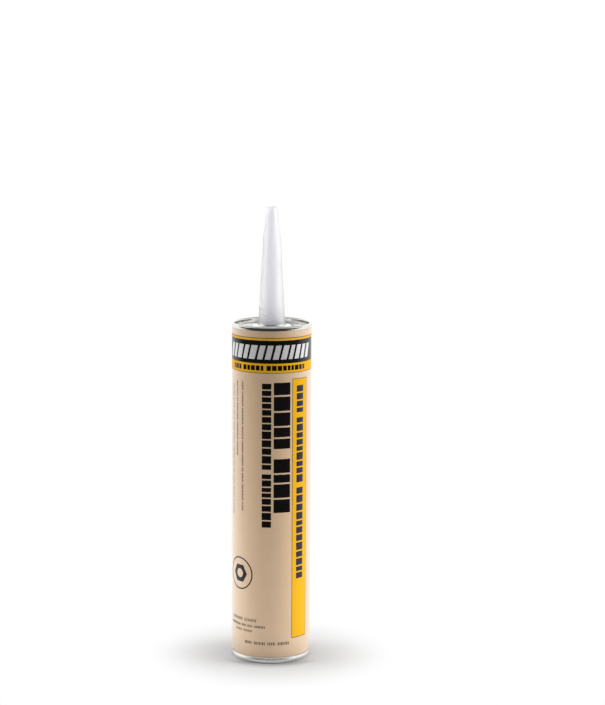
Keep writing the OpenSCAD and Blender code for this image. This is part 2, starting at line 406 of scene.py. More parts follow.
def patch(corners: Array, inner_r: float, outer_r: float, finest: float = 0.8) -> Surface:
    """A film between four (s, z) corners: each point is the corners' bilinear mean.

    Args:
        corners: the corners in order round the patch.
        inner_r: radius of the film's inner face.
        outer_r: radius of its outer face.
        finest: longest step of the grid round the wrap.

    Returns:
        The film's surface.
    """
    a, b, c, d = np.asarray(corners, float)
    steps_u = max(1, math.ceil(max(abs(b[0] - a[0]), abs(c[0] - d[0])) / finest))
    steps_v = max(1, math.ceil(max(abs(d[0] - a[0]), abs(c[0] - b[0])) / finest))
    u = np.linspace(0, 1, steps_u + 1)[:, None, None]
    v = np.linspace(0, 1, steps_v + 1)[None, :, None]
    grid = (1 - u) * (1 - v) * a + u * (1 - v) * b + u * v * c + (1 - u) * v * d
    return film(grid[..., 0], grid[..., 1], inner_r, outer_r)


class Ink(Enum):
    """Inks of the print."""

    BLACK = "ink_black"
    YELLOW = "ink_yellow"
    DARK = "ink_dark"
    NAVY = "ink_navy"
    GREY = "ink_grey"
    SILVER = "ink_silver"


class Tree:
    """A node tree with short calls to add and join nodes."""

    def __init__(self, tree: bpy.types.NodeTree) -> None:
        """Keeps the tree."""
        self.tree = tree

    def give(self, socket: Socket, value: object) -> None:
        """Feeds an input from another socket, or sets its value.

        Args:
            socket: the input.
            value: the socket that feeds it, or its plain value.
        """
        if isinstance(value, bpy.types.NodeSocket):
            self.tree.links.new(value, socket)
        else:
            socket.default_value = value

    def add(self, kind: str, values: dict | None = None, **settings: object) -> bpy.types.Node:
        """Adds a node.

        Args:
            kind: the node's class name, without its ShaderNode prefix.
            values: input names to values, or to sockets that feed them.
            settings: properties of the node.

        Returns:
            The node.
        """
        node = self.tree.nodes.new("ShaderNode" + kind)
        for name, value in settings.items():
            setattr(node, name, value)
        for name, value in (values or {}).items():
            self.give(node.inputs[name], value)
        return node

    def maths(self, operation: str, a: object, b: object = 0.0, c: object = 0.0) -> Socket:
        """Result of a Math node on numbers or sockets."""
        return self.add("Math", {0: a, 1: b, 2: c}, operation=operation).outputs[0]

    def times(self, a: object, b: object) -> Socket:
        """a * b."""
        return self.maths("MULTIPLY", a, b)

    def spread(self, mask: object, reach: object, base: object) -> Socket:
        """base + reach * mask."""
        return self.maths("MULTIPLY_ADD", mask, reach, base)

    def vectors(self, operation: str, a: object, b: object = (0.0, 0.0, 0.0)) -> Outputs:
        """Outputs of a Vector Math node."""
        return self.add("VectorMath", {0: a, 1: b}, operation=operation).outputs

    def axes(self, vector: Socket) -> Outputs:
        """X, Y and Z of a vector."""
        return self.add("SeparateXYZ", {"Vector": vector}).outputs

    def ramp(self, value: Socket, low: float, high: float, start: float = 0.0, end: float = 1.0) -> Socket:
        """Value taken smoothly from start to end as it goes from low to high."""
        values = {"Value": value, "From Min": low, "From Max": high, "To Min": start, "To Max": end}
        return self.add("MapRange", values, interpolation_type="SMOOTHSTEP").outputs["Result"]

    def blend(self, factor: object, first: object, second: object) -> Socket:
        """Colour between two.

        Args:
            factor: zero for the first colour and one for the second.
            first: a colour or a socket.
            second: a colour or a socket.

        Returns:
            The mixed colour.
        """
        node = self.add("Mix", data_type="RGBA")
        for name, value in (("Factor", factor), ("A", first), ("B", second)):
            self.give(next(i for i in node.inputs if i.name == name and i.enabled), value)
        return next(o for o in node.outputs if o.enabled)


def rgba(colour: Colour) -> tuple[float, float, float, float]:
    """The colour with full alpha."""
    return (*colour, 1.0)


def shade(colour: Colour, factor: float) -> Colour:
    """The colour times a factor."""
    return tuple(min(1.0, c * factor) for c in colour)


class EffectSketch(Tree):
    """A shader node group under construction: masks made from a vector and some floats."""

    def __init__(self, name: str, inputs: Sequence[str], outputs: Sequence[str]) -> None:
        """Makes the group with its sockets.

        Args:
            name: the group's name.
            inputs: names of the float inputs, which follow the vector.
            outputs: names of the float outputs.
        """
        super().__init__(bpy.data.node_groups.new(name, "ShaderNodeTree"))
        sockets = self.tree.interface
        sockets.new_socket("Vector", in_out="INPUT", socket_type="NodeSocketVector")
        for way, labels in (("INPUT", inputs), ("OUTPUT", outputs)):
            for label in labels:
                sockets.new_socket(label, in_out=way, socket_type="NodeSocketFloat")
        self.given = self.tree.nodes.new("NodeGroupInput").outputs
        self.wanted = self.tree.nodes.new("NodeGroupOutput").inputs

    def noise(self, scale: object, detail: float, vector: Socket | None = None, **values: float) -> Socket:
        """Noise of a vector.

        Args:
            scale: how fine it is, as a number or a socket.
            detail: how many finer layers it has.
            vector: what it reads, or None for the group's own vector.
            values: further inputs of the node.

        Returns:
            The noise, from about 0 to 1.
        """
        place = self.given["Vector"] if vector is None else vector
        inputs = {"Vector": place, "Scale": scale, "Detail": detail, **values}
        return self.add("TexNoise", inputs).outputs["Fac"]

    def angle(self, axes: Outputs) -> Socket:
        """Angle round the tube's axis, in radians."""
        return self.maths("ARCTAN2", axes["Y"], axes["X"])

    def finish(self, **masks: Socket) -> bpy.types.NodeTree:
        """Feeds the group's outputs.

        Args:
            masks: output names to the sockets that feed them.

        Returns:
            The group.
        """
        for name, mask in masks.items():
            self.give(self.wanted[name], mask)
        return self.tree


class Effects:
    """The effects that several finishes share, each a shader node group that is built once."""

    def __init__(self) -> None:
        """Builds every group."""
        self.groups = {
            "fibre": self._fibre(),
            "helix": self._helix(),
            "scuffs": self._scuffs(),
            "turning": self._turning(),
            "pleats": self._pleats(),
        }

    @staticmethod
    def _fibre() -> bpy.types.NodeTree:
        """Paper fibre: cloudy formation with fine short fibres over it.

        Returns:
            The group.
        """
        sketch = EffectSketch("fibre", ["Cloud Scale", "Fibre Scale"], ["Clouds", "Fibres"])
        clouds = sketch.noise(sketch.given["Cloud Scale"], detail=4.0, Roughness=0.6)
        squeezed = sketch.add("Mapping", {"Vector": sketch.given["Vector"], "Scale": (1.0, 1.0, 0.35)})
        fibres = sketch.noise(sketch.given["Fibre Scale"], detail=3.0, vector=squeezed.outputs["Vector"],
                              Distortion=0.6)
        return sketch.finish(Clouds=sketch.ramp(clouds, low=0.3, high=0.7),
                             Fibres=sketch.ramp(fibres, low=0.35, high=0.65))

    @staticmethod
    def _helix() -> bpy.types.NodeTree:
        """Spiral winding: a line wherever angle / 360 + z / pitch passes a whole number.

        Returns:
            The group.
        """
        sketch = EffectSketch("helix", ["Pitch", "Width"], ["Line"])
        axes = sketch.axes(sketch.given["Vector"])
        climb = sketch.maths("DIVIDE", axes["Z"], sketch.given["Pitch"])
        ply = sketch.maths("FRACT", sketch.spread(sketch.angle(axes), 1 / math.tau, climb))
        off = sketch.maths("ABSOLUTE", sketch.maths("SUBTRACT", ply, 0.5))
        edge = sketch.maths("DIVIDE", sketch.maths("SUBTRACT", 0.5, off), sketch.given["Width"])
        return sketch.finish(Line=sketch.maths("SUBTRACT", 1.0, sketch.maths("MINIMUM", edge, 1.0)))

    @staticmethod
    def _scuffs() -> bpy.types.NodeTree:
        """Handling marks: soft smudges and fine short scratches in two directions.

        Returns:
            The group.
        """
        sketch = EffectSketch("scuffs", ["Scale"], ["Smudge", "Scratch"])
        scale = sketch.given["Scale"]
        smudge = sketch.ramp(sketch.noise(scale, detail=5.0, Roughness=0.7), low=0.35, high=0.75)
        scratches = []
        for tilt, stretch in ((0.5, (1.0, 1.0, 22.0)), (1.2, (1.0, 16.0, 1.0))):
            turned = sketch.add("Mapping", {"Vector": sketch.given["Vector"], "Scale": stretch,
                                            "Rotation": (tilt, tilt / 2, 0.0)})
            lines = sketch.noise(scale, detail=2.0, vector=turned.outputs["Vector"], Distortion=0.3)
            scratches.append(sketch.ramp(lines, low=0.66, high=0.74))
        return sketch.finish(Smudge=smudge, Scratch=sketch.maths("MAXIMUM", *scratches))

    @staticmethod
    def _turning() -> bpy.types.NodeTree:
        """Fine rings about the axis, as tooling leaves them: noise of the distance from it and z.

        Returns:
            The group.
        """
        sketch = EffectSketch("turning", ["Scale"], ["Rings"])
        axes = sketch.axes(sketch.given["Vector"])
        flat = sketch.add("CombineXYZ", {"X": axes["X"], "Y": axes["Y"]}).outputs["Vector"]
        reach = sketch.vectors("LENGTH", flat)["Value"]
        along = sketch.add("CombineXYZ", {"X": reach, "Y": axes["Z"]}).outputs["Vector"]
        rings = sketch.add("TexNoise", {"Vector": along, "Scale": sketch.given["Scale"], "Detail": 2.0},
                           noise_dimensions="2D")
        return sketch.finish(Rings=sketch.ramp(rings.outputs["Fac"], low=0.3, high=0.7))

    @staticmethod
    def _pleats() -> bpy.types.NodeTree:
        """Creases up the tube: a crest wherever cos(count * angle + wander) is near one.

        They grow from nothing at the foot to full at the head, and fade in patches.

        Returns:
            The group.
        """
        sketch = EffectSketch("pleats", ["Count", "Foot", "Head"], ["Crest"])
        axes = sketch.axes(sketch.given["Vector"])
        most_wander = 9.0
        wander = sketch.times(sketch.noise(scale=260.0, detail=1.0), most_wander)
        phase = sketch.spread(sketch.angle(axes), sketch.given["Count"], wander)
        crest = sketch.ramp(sketch.maths("COSINE", phase), low=0.2, high=1.0)
        height = sketch.add("MapRange", {"Value": axes["Z"], "From Min": sketch.given["Foot"],
                                         "From Max": sketch.given["Head"]}).outputs["Result"]
        patches = sketch.ramp(sketch.noise(scale=90.0, detail=0.0), low=0.35, high=0.6)
        return sketch.finish(Crest=sketch.times(crest, sketch.times(height, patches)))


class FinishSketch(Tree):
    """A material under construction: its tree, its shader and the coordinates it reads."""

    def __init__(self, name: str, effects: Effects) -> None:
        """Starts a material whose Principled BSDF reaches the output.

        Args:
            name: the material's name.
            effects: the shared node groups.
        """
        self.material = bpy.data.materials.new(name)
        self.material.use_nodes = True
        super().__init__(self.material.node_tree)
        self.effects = effects
        self.tree.nodes.clear()
        self.shader = self.add("BsdfPrincipled")
        self.add("OutputMaterial", {"Surface": self.shader.outputs["BSDF"]})
        self.place = self.add("TexCoord").outputs["Object"]

    def effect(self, name: str, **values: float) -> Outputs:
        """Places an effect on this material's coordinates, with its own values.

        Args:
            name: the effect's name.
            values: input names, with underscores for spaces, to values.

        Returns:
            The effect's outputs.
        """
        node = self.add("Group", {}, node_tree=self.effects.groups[name])
        self.give(node.inputs["Vector"], self.place)
        for label, value in values.items():
            self.give(node.inputs[label.replace("_", " ")], value)
        return node.outputs

    def tone(self, mask: Socket, colour: Colour, low: float, high: float = 1.0) -> Socket:
        """The colour times low where the mask is zero, and times high where it is one."""
        return self.blend(mask, rgba(shade(colour, low)), rgba(shade(colour, high)))

    def bump(self, height: Socket, depth_mm: float, strength: float) -> Socket:
        """Normal of a height from 0 to 1 that stands for a depth in millimetres."""
        values = {"Height": height, "Distance": depth_mm * MM, "Strength": strength}
        return self.add("Bump", values).outputs["Normal"]

    def set(self, **values: object) -> None:
        """Sets the shader's sockets, or feeds them, by their names with underscores for spaces."""
        for name, value in values.items():
            self.give(self.shader.inputs[name.replace("_", " ")], value)


@dataclass(frozen=True)
class Finish:
    """A finish: its material's name, its colour and how rough it is."""

    name: str
    colour: Colour
    roughness: float

    def build(self, effects: Effects) -> bpy.types.Material:
        """Makes the material.

        Args:
            effects: the shared node groups.

        Returns:
            The material.
        """
        sketch = FinishSketch(self.name, effects)
        self.dress(sketch)
        return sketch.material

    def dress(self, sketch: FinishSketch) -> None:
        """Sets the shader, which each kind of finish does in its own way."""
        raise NotImplementedError


@dataclass(frozen=True)
class PaperFinish(Finish):
    """Varnished tan paper, with faint clouds and fibres and pleats below the front seam whose crests have a
    painted highlight.
    """

    name: str = "wrap_paper"
    colour: Colour = from_srgb(195, 165, 132)
    roughness: float = 0.42
    varnish: float = 0.9
    sheen: float = 0.55
    fleck: float = 0.06
    fleck_shade: float = 0.7
    # Painted highlight on the pleats' crests: how strong it is, and its pale colour.
    crest_highlight: float = 0.45
    crest_highlight_colour: Colour = from_srgb(226, 208, 188)
    pleat_reach: tuple[float, float] = (209.3, 213.4)

    def dress(self, sketch: FinishSketch) -> None:
        """Clouds and fibres tint the paper, and the pleats' crests stand up and carry a painted highlight, a
        paler colour.

        Args:
            sketch: the material under construction.
        """
        fibre = sketch.effect("fibre", Cloud_Scale=70.0, Fibre_Scale=1400.0)
        smudge = sketch.effect("scuffs", Scale=45.0)["Smudge"]
        foot, head = self.pleat_reach
        crest = sketch.effect("pleats", Count=float(SIZES.pleats), Foot=foot * MM, Head=head * MM)["Crest"]
        clouded = sketch.tone(fibre["Clouds"], self.colour, low=0.975, high=1.02)
        flecks = sketch.times(fibre["Fibres"], self.fleck)
        fibrous = sketch.blend(flecks, clouded, rgba(shade(self.colour, self.fleck_shade)))
        height = sketch.spread(fibre["Fibres"], reach=0.1, base=crest)
        # Painted highlight: the colour goes towards a paler one on the pleats' crests.
        sketch.set(
            Base_Color=sketch.blend(sketch.times(crest, self.crest_highlight), fibrous, rgba(self.crest_highlight_colour)),
            Roughness=sketch.spread(smudge, reach=0.06, base=self.roughness - 0.03),
            Coat_Weight=self.varnish,
            Coat_Roughness=0.3,
            Sheen_Weight=self.sheen,
            Normal=sketch.bump(height, depth_mm=0.12, strength=0.5),
        )


@dataclass(frozen=True)
class InkFinish(Finish):
    """Ink under the same varnish as the paper, a little smoother, with the paper's tooth in it."""

    roughness: float = 0.36
    varnish: float = 0.1
    gloss: float = 0.4
    metallic: float = 0.0
    streak: float = 0.006
    paper: Colour = from_srgb(190, 170, 150)

    def dress(self, sketch: FinishSketch) -> None:
        """The paper shows through along its fibres, as much as streak says.

        Args:
            sketch: the material under construction.
        """
        fibres = sketch.effect("fibre", Cloud_Scale=160.0, Fibre_Scale=2200.0)["Fibres"]
        smudge = sketch.effect("scuffs", Scale=45.0)["Smudge"]
        sketch.set(
            Base_Color=sketch.blend(sketch.times(fibres, self.streak), rgba(self.colour), rgba(self.paper)),
            Roughness=sketch.spread(smudge, reach=0.08, base=self.roughness - 0.04),
            Metallic=self.metallic,
            Coat_Weight=self.varnish,
            Coat_Roughness=0.16,
            Specular_IOR_Level=self.gloss,
            Normal=sketch.bump(fibres, depth_mm=0.008, strength=0.4),
        )


@dataclass(frozen=True)
class TinplateFinish(Finish):
    """Bright tinplate: fine rings from the tooling, smudges and a few hairline scratches."""

    name: str = "tinplate"
    colour: Colour = from_srgb(238, 237, 234)
    roughness: float = 0.08

    def dress(self, sketch: FinishSketch) -> None:
        """Smudges dull and darken the metal, scratches roughen it, and both lie over the rings.

        Args:
            sketch: the material under construction.
        """
        rings = sketch.effect("turning", Scale=2600.0)["Rings"]
        scuffs = sketch.effect("scuffs", Scale=130.0)
        smudged = sketch.spread(scuffs["Smudge"], reach=0.1, base=self.roughness)
        height = sketch.spread(scuffs["Scratch"], reach=-0.8, base=rings)
        sketch.set(
            Base_Color=sketch.tone(scuffs["Smudge"], self.colour, low=1.0, high=0.9),
            Roughness=sketch.spread(scuffs["Scratch"], reach=0.15, base=smudged),
            Metallic=1.0,
            Normal=sketch.bump(height, depth_mm=0.006, strength=0.35),
        )


@dataclass(frozen=True)
class MilkyPlasticFinish(Finish):
    """Natural polyethylene: milky, soft inside, with flow marks and light handling marks."""

    colour: Colour = from_srgb(252, 252, 255)
    roughness: float = 0.42
    gloss: float = 0.3
    depth: float = 2.0
    softness: float = 0.5
    clearness: float = 0.8

    def dress(self, sketch: FinishSketch) -> None:
        """Light goes into the plastic by softness and depth, and through it by clearness.

        Args:
            sketch: the material under construction.
        """
        rings = sketch.effect("turning", Scale=700.0)["Rings"]
        scuffs = sketch.effect("scuffs", Scale=80.0)
        clouds = sketch.effect("fibre", Cloud_Scale=120.0, Fibre_Scale=900.0)["Clouds"]
        height = sketch.spread(scuffs["Scratch"], reach=-0.5, base=rings)
        sketch.set(
            Base_Color=sketch.tone(clouds, self.colour, low=0.98),
            Roughness=sketch.spread(scuffs["Smudge"], reach=0.08, base=self.roughness),
            Subsurface_Weight=self.softness,
            Subsurface_Radius=(1.0, 1.0, 1.0),
            Subsurface_Scale=self.depth * MM,
            Specular_IOR_Level=self.gloss,
            Transmission_Weight=self.clearness,
            Normal=sketch.bump(height, depth_mm=0.015, strength=0.4),
        )


@dataclass(frozen=True)
class WoundFinish(Finish):
    """Board or foil laminate wound in a spiral, with its butt seams and the paper's fibre."""

    metallic: float = 0.0
    pitch: float = 62.0
    seam_shade: float = 0.6

    def dress(self, sketch: FinishSketch) -> None:
        """The winding's seam is a dark groove once every pitch.

        Args:
            sketch: the material under construction.
        """
        seam = sketch.effect("helix", Pitch=self.pitch * MM, Width=0.012)["Line"]
        fibre = sketch.effect("fibre", Cloud_Scale=200.0, Fibre_Scale=1600.0)
        cloudy = sketch.tone(fibre["Clouds"], self.colour, low=0.92)
        tooth = sketch.times(fibre["Fibres"], 0.2)
        height = sketch.spread(seam, reach=-1.0, base=tooth)
        sketch.set(
            Base_Color=sketch.blend(seam, cloudy, rgba(shade(self.colour, self.seam_shade))),
            Roughness=sketch.spread(fibre["Clouds"], reach=0.1, base=self.roughness - 0.05),
            Metallic=self.metallic,
            Normal=sketch.bump(height, depth_mm=0.06, strength=0.7),
        )


@dataclass(frozen=True)
class PasteFinish(Finish):
    """Soft filling or sealing compound: smooth, damp and slightly lumpy."""

    damp: float = 0.3

    def dress(self, sketch: FinishSketch) -> None:
        """The lumps are clouds, with painted shade that makes them a little darker in their hollows.

        Args:
            sketch: the material under construction.
        """
        clouds = sketch.effect("fibre", Cloud_Scale=260.0, Fibre_Scale=700.0)["Clouds"]
        # Painted shade: the colour is darker where the lumps' height is low.
        sketch.set(
            Base_Color=sketch.tone(clouds, self.colour, low=0.9),
            Roughness=self.roughness,
            Coat_Weight=self.damp,
            Coat_Roughness=0.3,
            Normal=sketch.bump(clouds, depth_mm=0.15, strength=0.5),
        )


class Finishes:
    """Every finish of the cartridge, built once and kept by name."""

    def __init__(self) -> None:
        """Builds the node groups and the materials."""
        effects = Effects()
        plans = [
            PaperFinish(),
            InkFinish(Ink.BLACK.value, from_srgb(8, 7, 7), roughness=0.22),
            InkFinish(Ink.YELLOW.value, from_srgb(210, 158, 14), roughness=0.5, varnish=0.0, gloss=0.12,
                      streak=0.01),
            InkFinish(Ink.DARK.value, from_srgb(64, 52, 44)),
            InkFinish(Ink.NAVY.value, from_srgb(20, 17, 46)),
            InkFinish(Ink.GREY.value, from_srgb(66, 56, 48), streak=0.05),
            InkFinish(Ink.SILVER.value, from_srgb(212, 211, 212), roughness=0.3, metallic=0.25,
                      streak=0.12),
            TinplateFinish(),
            TinplateFinish("seal_foil", from_srgb(218, 218, 216), roughness=0.22),
            MilkyPlasticFinish("nozzle_plastic"),
            MilkyPlasticFinish("plunger_plastic", from_srgb(228, 226, 218), gloss=0.4, depth=1.5,
                               softness=0.3, clearness=0.0),
            WoundFinish("wound_board", from_srgb(178, 148, 112), roughness=0.8),
            WoundFinish("liner_foil", from_srgb(205, 204, 202), roughness=0.3, metallic=0.9),
            PasteFinish("compound", from_srgb(96, 98, 100), roughness=0.6, damp=0.1),
            PasteFinish("adhesive_paste", from_srgb(196, 166, 124), roughness=0.45),
        ]
        self.materials = {plan.name: plan.build(effects) for plan in plans}

    def __getitem__(self, name: str) -> bpy.types.Material:
        """The material of that name."""
        return self.materials[name]


@dataclass(frozen=True)
class PieceWords:
    """What a new piece is called, wears, stands for and rides on.

    Its slot has the name of its finish, and the slot field is not used.
    """

    name: str
    finish: str
    stands_for: tuple[str, ...] = ()
    slot: str = ""
    body: str = "cartridge"
    sharp_deg: float = 32.0


def make_piece(surface: Surface, words: PieceWords, finishes: Finishes) -> bpy.types.Object:
    """Args:
        surface: the shape, in millimetres.
        words: its name, finish, the nodes it stands for and its body.
        finishes: where its material is kept.

    Returns:
        The object, at the origin with its place in its mesh.
    """
    mesh = bpy.data.meshes.new(words.name)
    faces = surface.quads.tolist() + surface.triangles.tolist()
    mesh.from_pydata((surface.points * MM).tolist(), [], faces)
    mesh.validate()
    mesh.polygons.foreach_set("use_smooth", np.ones(len(mesh.polygons), bool))
    mesh.set_sharp_from_angle(angle=math.radians(words.sharp_deg))
    mesh.materials.append(finishes[words.finish])
    piece = bpy.data.objects.new(words.name, mesh)
    bpy.context.scene.collection.objects.link(piece)
    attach(piece, words.body)
    if words.stands_for:
        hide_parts(*words.stands_for)
    log.info("%s: %d faces", words.name, len(mesh.polygons))
    return piece


@dataclass
class Wall:
    """The printed wrap, the outermost layer of the wound wall."""

    finishes: Finishes
    columns: int = 720
    fine_step: float = 0.25
    long_step: float = 12.0
    pleat_depth: float = 0.085
    pleat_h: float = 2.6
    pleat_wander: tuple[tuple[float, int, float], ...] = ((1.3, 5, 0.4), (0.9, 11, 2.0))
    pleat_strength: float = 0.55
    pleat_change: tuple[tuple[float, int, float], ...] = ((0.3, 7, 1.0), (0.15, 17, 0.0))
    lap_edge_deg: float = 0.5
    lap_share: float = 0.98

    def wrap_profile(self) -> Array:
        """Section of the wrap: its outside from foot to head, pinched at both crimps, and back inside.

        Returns:
            The section's (r, z) points, once round.
        """
        z0 = SIZES.tin_t / 2 + SIZES.roll_r
        z1 = SIZES.body_h - SIZES.tin_t - SIZES.compound_h
        pinch = SIZES.crimp_depth
        pleat_z = SIZES.skirt_z - self.pleat_h
        foot = [
            (0, z0), (0, SIZES.ring_bead_h), (pinch, SIZES.neck_z - SIZES.tin_t),
            (pinch, SIZES.rear_ring_h), (0, SIZES.rear_ring_h + SIZES.pinch_h),
        ]
        middle = [(0, SIZES.rear_ring_h + SIZES.pinch_h), (0, pleat_z)]
        head = [
            (0, pleat_z), (0, SIZES.skirt_z - SIZES.pinch_h), (pinch, SIZES.skirt_z),
            (pinch, SIZES.skirt_z + SIZES.tin_t), (0, SIZES.lean_z), (0, z1),
        ]
        sides = []
        for r in (SIZES.wrap_r, SIZES.board_r):
            parts = []
            for steps, longest in ((foot, self.fine_step), (middle, self.long_step), (head, self.fine_step)):
                line = np.array([(r - depth, z) for depth, z in steps])
                parts.append(split_line(line, longest))
            sides.append(np.concatenate([parts[0][:-1], parts[1][:-1], parts[2]]))
        return np.concatenate([sides[0], sides[1][::-1]])

    def wrap_ripple(self, turn: Array, r: Array, z: Array) -> Array:
        """Pleats below the front crimp, and the step where the wrap laps over itself at the back.

        A pleat is (1 + cos(n turn + w)) / 2 deep times a strength, where w and the strength
        change with the turn, and it fades out downwards as a smooth step. The lap adds almost
        one thickness to the outside, rising within lap_edge_deg.

        Args:
            turn: degrees from the front.
            r: radius before the change.
            z: height.

        Returns:
            The change of radius.
        """
        angle = np.radians(turn)
        strength = waves(angle, self.pleat_change, self.pleat_strength)
        wave = 0.5 + 0.5 * np.cos(SIZES.pleats * angle + waves(angle, self.pleat_wander))
        rise = np.clip((z - (SIZES.skirt_z - self.pleat_h)) / self.pleat_h, 0, 1)
        outside = r > SIZES.board_r - SIZES.crimp_depth + SIZES.wrap_t / 2
        pleat = self.pleat_depth * strength * wave * rise**2 * (3 - 2 * rise)
        half_lap = SIZES.turn_of(SIZES.wrap_lap) / 2
        edge = np.clip((half_lap - np.abs(turn - 180)) / self.lap_edge_deg, 0, 1)
        return np.where(outside, SIZES.wrap_t * edge * self.lap_share - pleat, 0.0)

    def build(self) -> None:
        """Makes the wrap."""
        surface = revolved(self.wrap_profile(), self.columns, self.wrap_ripple)
        words = PieceWords("printed_wrap", "wrap_paper", ("paper_wrap",))
        make_piece(surface, words, self.finishes)


@dataclass
class Ends:
    """The two tinplate pressings: the seamed front end and the rolled rear ring."""

    finishes: Finishes
    columns: int = 288
    hole_gap: float = 0.05
    flange_gap: float = 0.3
    lip_spread: float = 0.25
    seat_slope: float = 0.5
    groove_slope: float = 0.8
    chuck_marks: int = 72
    chuck_depth: float = 0.012
    chuck_wander: tuple[tuple[float, int, float], ...] = ((1.5, 3, 0.0),)

    def front_middle(self) -> Array:
        """Middle line of the front end: lip, seat, panel, groove, chuck wall, seam and crimp.

        Returns:
            The line's (r, z) points.
        """
        half = SIZES.tin_t / 2
        bend = SIZES.press_r
        lip_r = SIZES.nozzle_r + self.hole_gap + half
        seat_r = SIZES.nozzle_r + SIZES.flange_w + self.flange_gap + half
        panel_r = SIZES.bore_r - SIZES.groove_w
        seat_z = SIZES.body_h - SIZES.seat_drop - half
        panel_z = SIZES.body_h - SIZES.panel_drop - half
        groove_z = SIZES.body_h - SIZES.groove_drop - half
        crown_z = SIZES.body_h - half
        return rounded_line([
            (lip_r, seat_z + half + SIZES.lip_h),
            (lip_r + self.lip_spread, seat_z, bend),
            (seat_r, seat_z, bend),
            (seat_r + self.seat_slope, panel_z, bend),
            (panel_r, panel_z, bend),
            (panel_r + self.groove_slope, groove_z, bend),
            (SIZES.leg_r, groove_z, bend * 2),
            (SIZES.leg_r, crown_z, SIZES.roll_r),
            (SIZES.skirt_r, crown_z, SIZES.roll_r),
            (SIZES.skirt_r, SIZES.lean_z, SIZES.bead_round),
            (SIZES.crimp_r, SIZES.skirt_z),
        ])

    def rear_middle(self) -> Array:
        """Middle line of the rear ring: inner leg, standing edge, bead and crimped neck.

        Returns:
            The line's (r, z) points.
        """
        half = SIZES.tin_t / 2
        bend = SIZES.press_r
        return rounded_line([
            (SIZES.leg_r, SIZES.ring_leg_h),
            (SIZES.leg_r, half, SIZES.roll_r),
            (SIZES.skirt_r, half, SIZES.roll_r),
            (SIZES.skirt_r, SIZES.ring_bead_h, SIZES.bead_round),
            (SIZES.crimp_r, SIZES.neck_z, bend),
            (SIZES.crimp_r, SIZES.rear_ring_h),
        ])

    def chuck_ripple(self, turn: Array, r: Array, z: Array) -> Array:
        """Seaming marks on the outer skirts: minus a depth times (1 + cos(n turn + w)) / 2.

        Args:
            turn: degrees from the front.
            r: radius before the change.
            z: height, not used.

        Returns:
            The change of radius.
        """
        angle = np.radians(turn)
        wave = 0.5 + 0.5 * np.cos(self.chuck_marks * angle + waves(angle, self.chuck_wander))
        return np.where(r > SIZES.lap_r, -self.chuck_depth * wave, 0.0)

    def build(self) -> None:
        """Makes both pressings."""
        for middle, name, node in (
            (self.front_middle(), "front_pressing", "front_end"),
            (self.rear_middle(), "rear_pressing", "rear_ring"),
        ):
            outline = sheet_outline(middle, SIZES.tin_t)
            surface = revolved(outline, self.columns, self.chuck_ripple)
            make_piece(surface, PieceWords(name, "tinplate", (node,)), self.finishes)


@dataclass
class Nozzle:
    """The moulded nozzle: flange, ringed base, long taper, bend and closed tip."""

    finishes: Finishes
    columns: int = 128
    bend_r: float = 5.5
    tip_r: float = 2.95
    length: float = 74.8
    tip_taper_h: float = 19.0
    wall: float = 1.3
    tip_wall: float = 0.9
    tip_t: float = 3.0
    flange_t: float = 1.3
    ring_count: int = 6
    ring_pitch: float = 1.9
    ring_rise: float = 0.15
    ring_steps: int = 16
    tip_round: float = 0.7
    bend_round: float = 60.0
    arc_step_deg: float = 0.7
    inside_step: float = 6.0
    outside_step: float = 3.0

    def outline(self) -> Array:
        """Section from the inner pole down the inside, round the flange and up the outside.

        The rings stand on the straight taper from the lip to the bend. Each rises by
        1.5 cos(a) - 0.5 of ring_rise, cut off at 0 and 1, where a goes once round for each
        pitch of height and is 0 in the pitch's middle.

        Returns:
            The section's points, from axis to axis.
        """
        seat_z = SIZES.body_h - SIZES.seat_drop
        shank_z = seat_z + SIZES.lip_h
        tip_z = seat_z + self.length
        bend_z = tip_z - self.tip_taper_h
        flange_z1 = seat_z - SIZES.tin_t
        flange_z0 = flange_z1 - self.flange_t
        flange_r = SIZES.nozzle_r + SIZES.flange_w
        inner_base_r = SIZES.nozzle_r - self.wall
        inside = np.array([
            (0, tip_z - self.tip_t), (self.tip_r - self.tip_wall, tip_z - self.tip_t),
            (self.bend_r - self.wall, bend_z), (inner_base_r, seat_z), (inner_base_r, flange_z0),
        ])
        flange = np.array([(flange_r, flange_z0), (flange_r, flange_z1), (SIZES.nozzle_r, flange_z1)])
        ringed_h = self.ring_count * self.ring_pitch
        ring_z = np.linspace(shank_z, shank_z + ringed_h, self.ring_steps * self.ring_count + 1)
        phase = (ring_z - shank_z) / self.ring_pitch
        crest = np.clip(1.5 * np.cos(math.tau * (phase - 0.5)) - 0.5, 0, 1)
        taper = SIZES.nozzle_r + (self.bend_r - SIZES.nozzle_r) * (ring_z - shank_z) / (bend_z - shank_z)
        rings = np.stack([taper + self.ring_rise * crest, ring_z], axis=-1)
        upper = rounded_line([
            tuple(rings[-1]), (self.bend_r, bend_z, self.bend_round),
            (self.tip_r, tip_z, self.tip_round), (0, tip_z),
        ], step=self.arc_step_deg)
        return np.concatenate([
            split_line(inside, self.inside_step), flange, rings,
            split_line(upper[1:], self.outside_step),
        ])

    def build(self) -> None:
        """Makes the nozzle."""
        surface = revolved(self.outline(), self.columns, poles=True)
        words = PieceWords("nozzle_moulding", "nozzle_plastic", ("nozzle",))
        make_piece(surface, words, self.finishes)


